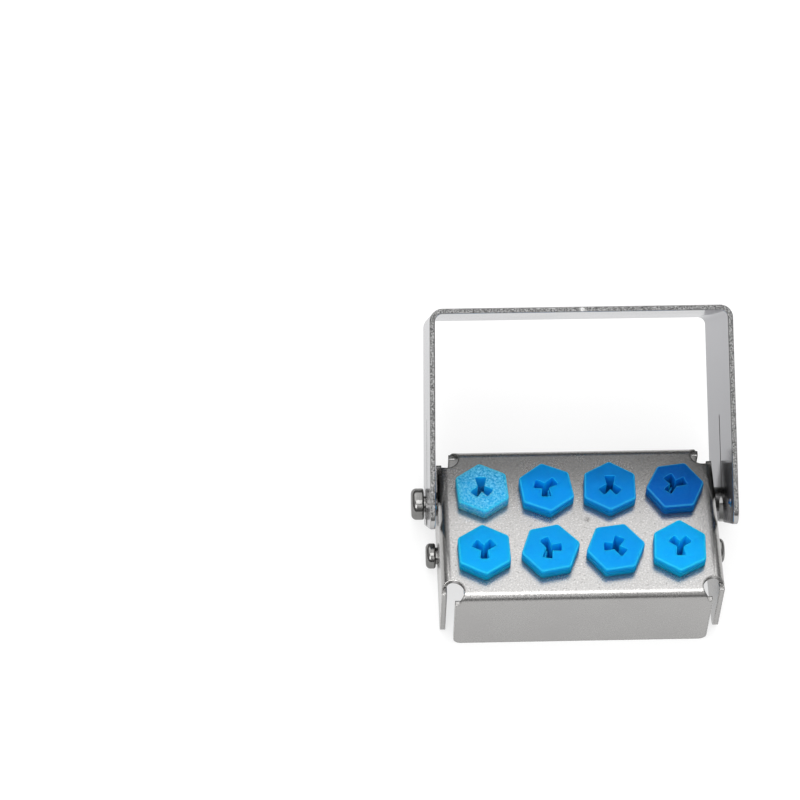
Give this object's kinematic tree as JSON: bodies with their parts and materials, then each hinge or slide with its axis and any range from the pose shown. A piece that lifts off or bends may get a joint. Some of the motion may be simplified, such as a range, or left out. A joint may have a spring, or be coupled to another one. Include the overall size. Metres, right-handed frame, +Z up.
{
  "type": "dental bur block",
  "caption": "Folded stainless steel tray with hexagonal blue silicone plugs in two rows for standing dental burs, under a folded steel cover that swings back on side rivets.",
  "frame": {"origin": "on the surface the block stands on, under the middle of the base's plate", "axes": "+X to the right along the rows of plugs, +Y from the front of the block to its back, where the cover swings, and +Z up"},
  "size_m": [0.0612, 0.06, 0.0475],
  "materials": {
    "base_steel": "satin, bead blasted",
    "cover_steel": "satin, smooth",
    "rivet_steel": "polished",
    "silicone_front_1": "soft matte silicone",
    "silicone_front_2": "soft matte silicone",
    "silicone_front_3": "soft matte silicone",
    "silicone_front_4": "soft matte silicone",
    "silicone_back_1": "frosted silicone",
    "silicone_back_2": "soft matte silicone",
    "silicone_back_3": "soft matte silicone",
    "silicone_back_4": "dark soft matte silicone"
  },
  "bodies": {
    "base": {"base_block": "base_steel", "plug_front_1": "silicone_front_1", "plug_front_2": "silicone_front_2", "plug_front_3": "silicone_front_3", "plug_front_4": "silicone_front_4", "plug_back_1": "silicone_back_1", "plug_back_2": "silicone_back_2", "plug_back_3": "silicone_back_3", "plug_back_4": "silicone_back_4", "pivot_rivet_left": "rivet_steel", "pivot_rivet_right": "rivet_steel", "lock_stud_left": "rivet_steel", "lock_stud_right": "rivet_steel"},
    "cover": {"cover": "cover_steel"}
  },
  "joints": [
    {"name": "cover_hinge", "type": "hinge", "parent": "base", "child": "cover", "pos_m": [0, 0.0111, 0.0051], "axis": [1, 0, 0], "range_deg": [-34, 56]}
  ]
}
